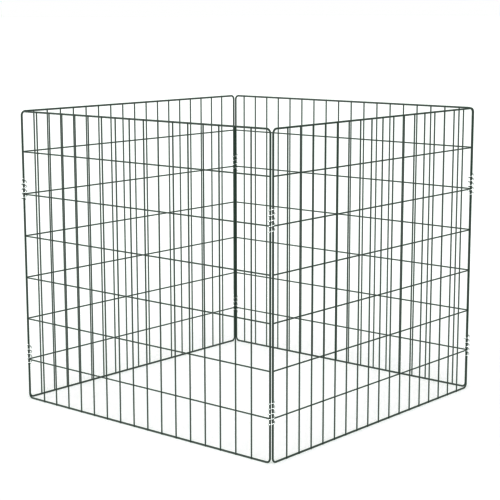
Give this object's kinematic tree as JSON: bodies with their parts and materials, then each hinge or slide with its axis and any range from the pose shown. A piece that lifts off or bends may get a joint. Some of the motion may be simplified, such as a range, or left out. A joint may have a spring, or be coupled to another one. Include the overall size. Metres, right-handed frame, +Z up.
{
  "type": "wire compost bin",
  "caption": "Square open bin of welded wire panels in bent wire frames, hinged at the corners by spiral wire clips, so that it folds flat.",
  "frame": {"origin": "on the ground, at the middle of the square that the panels stand in", "axes": "+Z up; -Y is the outward direction of the front panel; +X is the outward direction of the right panel"},
  "size_m": [0.9324, 0.9324, 0.838],
  "materials": {
    "green_coated_wire": "dark green plastic-coated wire, satin",
    "zinc_plated_wire": "bright zinc-plated spring wire"
  },
  "bodies": {
    "front_panel": {"front_frame": "green_coated_wire", "front_rail_1": "green_coated_wire", "front_rail_2": "green_coated_wire", "front_rail_3": "green_coated_wire", "front_rail_4": "green_coated_wire", "front_rail_5": "green_coated_wire", "front_rail_6": "green_coated_wire", "front_right_clip_lower": "zinc_plated_wire", "front_right_clip_upper": "zinc_plated_wire"},
    "right_panel": {"right_frame": "green_coated_wire", "right_rail_1": "green_coated_wire", "right_rail_2": "green_coated_wire", "right_rail_3": "green_coated_wire", "right_rail_4": "green_coated_wire", "right_rail_5": "green_coated_wire", "right_rail_6": "green_coated_wire", "back_right_clip_lower": "zinc_plated_wire", "back_right_clip_upper": "zinc_plated_wire"},
    "back_panel": {"back_frame": "green_coated_wire", "back_rail_1": "green_coated_wire", "back_rail_2": "green_coated_wire", "back_rail_3": "green_coated_wire", "back_rail_4": "green_coated_wire", "back_rail_5": "green_coated_wire", "back_rail_6": "green_coated_wire", "back_left_clip_lower": "zinc_plated_wire", "back_left_clip_upper": "zinc_plated_wire"},
    "left_panel": {"left_frame": "green_coated_wire", "left_rail_1": "green_coated_wire", "left_rail_2": "green_coated_wire", "left_rail_3": "green_coated_wire", "left_rail_4": "green_coated_wire", "left_rail_5": "green_coated_wire", "left_rail_6": "green_coated_wire", "front_left_clip_lower": "zinc_plated_wire", "front_left_clip_upper": "zinc_plated_wire"}
  },
  "joints": [
    {"name": "front_right_hinge", "type": "hinge", "parent": "front_panel", "child": "right_panel", "pos_m": [0.4572, -0.4572, 0], "axis": [0, 0, 1], "range_deg": [-88.5, 88.5]},
    {"name": "back_right_hinge", "type": "hinge", "parent": "right_panel", "child": "back_panel", "pos_m": [0.4572, 0.4572, 0], "axis": [0, 0, 1], "range_deg": [-88.5, 88.5]},
    {"name": "back_left_hinge", "type": "hinge", "parent": "back_panel", "child": "left_panel", "pos_m": [-0.4572, 0.4572, 0], "axis": [0, 0, 1], "range_deg": [-88.5, 88.5]}
  ],
  "couplings": [
    {"joint": "back_right_hinge", "follows": "front_right_hinge", "ratio": -1},
    {"joint": "back_left_hinge", "follows": "front_right_hinge", "ratio": 1}
  ]
}
